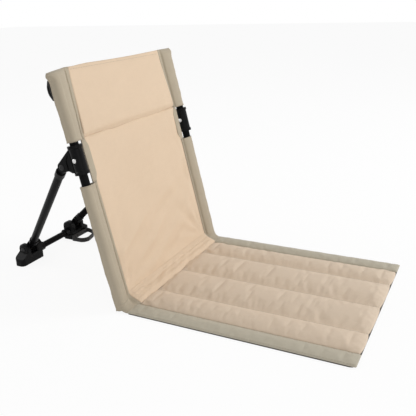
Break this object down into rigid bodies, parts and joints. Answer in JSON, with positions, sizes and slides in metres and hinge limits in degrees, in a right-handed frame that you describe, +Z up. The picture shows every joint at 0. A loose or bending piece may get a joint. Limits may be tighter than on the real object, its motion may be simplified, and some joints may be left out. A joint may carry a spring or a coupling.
{
  "type": "folding_ground_chair",
  "caption": "Folding ground chair with a cloth back on side poles, a quilted seat that lies on the floor and a rear prop stand that folds flat against the back.",
  "frame": {"origin": "middle of the seat's flat underside, on the floor", "axes": "+Z up, -Y towards the seat's front edge, +X to the right seen from in front"},
  "size_m": [0.4084, 0.775, 0.4451],
  "materials": {
    "black_tube": "semi-gloss black coat on thin tube",
    "black_plastic": "moulded, soft sheen",
    "steel": "bright rivets and pins",
    "black_webbing": "woven strap",
    "peach_cloth": "coated plain weave",
    "khaki_cloth": "coated plain weave",
    "dark_cloth": "coated plain weave",
    "foam": "open-cell foam strip"
  },
  "bodies": {
    "back": {"left_side_pole": "black_tube", "right_side_pole": "black_tube", "pole_caps": "black_plastic", "left_hub": "black_plastic", "right_hub": "black_plastic", "hub_rivets": "steel", "leg_pivot_pins": "steel", "lower_back_panel": "peach_cloth", "upper_back_panel": "peach_cloth", "left_lower_sleeve": "khaki_cloth", "right_lower_sleeve": "khaki_cloth", "left_upper_sleeve": "khaki_cloth", "right_upper_sleeve": "khaki_cloth", "left_window_binding": "khaki_cloth", "right_window_binding": "khaki_cloth", "fold_strip": "peach_cloth", "grab_loop": "black_webbing"},
    "stand": {"left_leg_upper_eye": "black_plastic", "right_leg_upper_eye": "black_plastic", "left_leg": "black_tube", "right_leg": "black_tube", "left_leg_foot_eye": "black_plastic", "right_leg_foot_eye": "black_plastic"},
    "foot": {"left_foot": "black_plastic", "right_foot": "black_plastic", "foot_pins": "steel", "foot_washers": "black_plastic", "foot_bar": "black_tube", "strap_loop": "black_webbing", "strap_rivets": "steel"},
    "seat": {"seat_base": "dark_cloth", "quilted_cover": "peach_cloth", "left_outer_foam": "foam", "left_inner_foam": "foam", "right_inner_foam": "foam", "right_outer_foam": "foam", "left_seat_band": "khaki_cloth", "right_seat_band": "khaki_cloth"}
  },
  "joints": [
    {"name": "stand_fold", "type": "hinge", "parent": "back", "child": "stand", "pos_m": [0, 0.32418, 0.26925], "axis": [1, 0, 0], "range_deg": [-56, 0], "deforming": ["strap_loop"]},
    {"name": "foot_swivel", "type": "hinge", "parent": "stand", "child": "foot", "pos_m": [0, 0.549, 0.032], "axis": [1, 0, 0], "range_deg": [-40, 40]},
    {"name": "seat_fold", "type": "hinge", "parent": "back", "child": "seat", "pos_m": [0, 0.213, 0.0055], "axis": [-1, 0, 0], "range_deg": [-77, 100]}
  ]
}
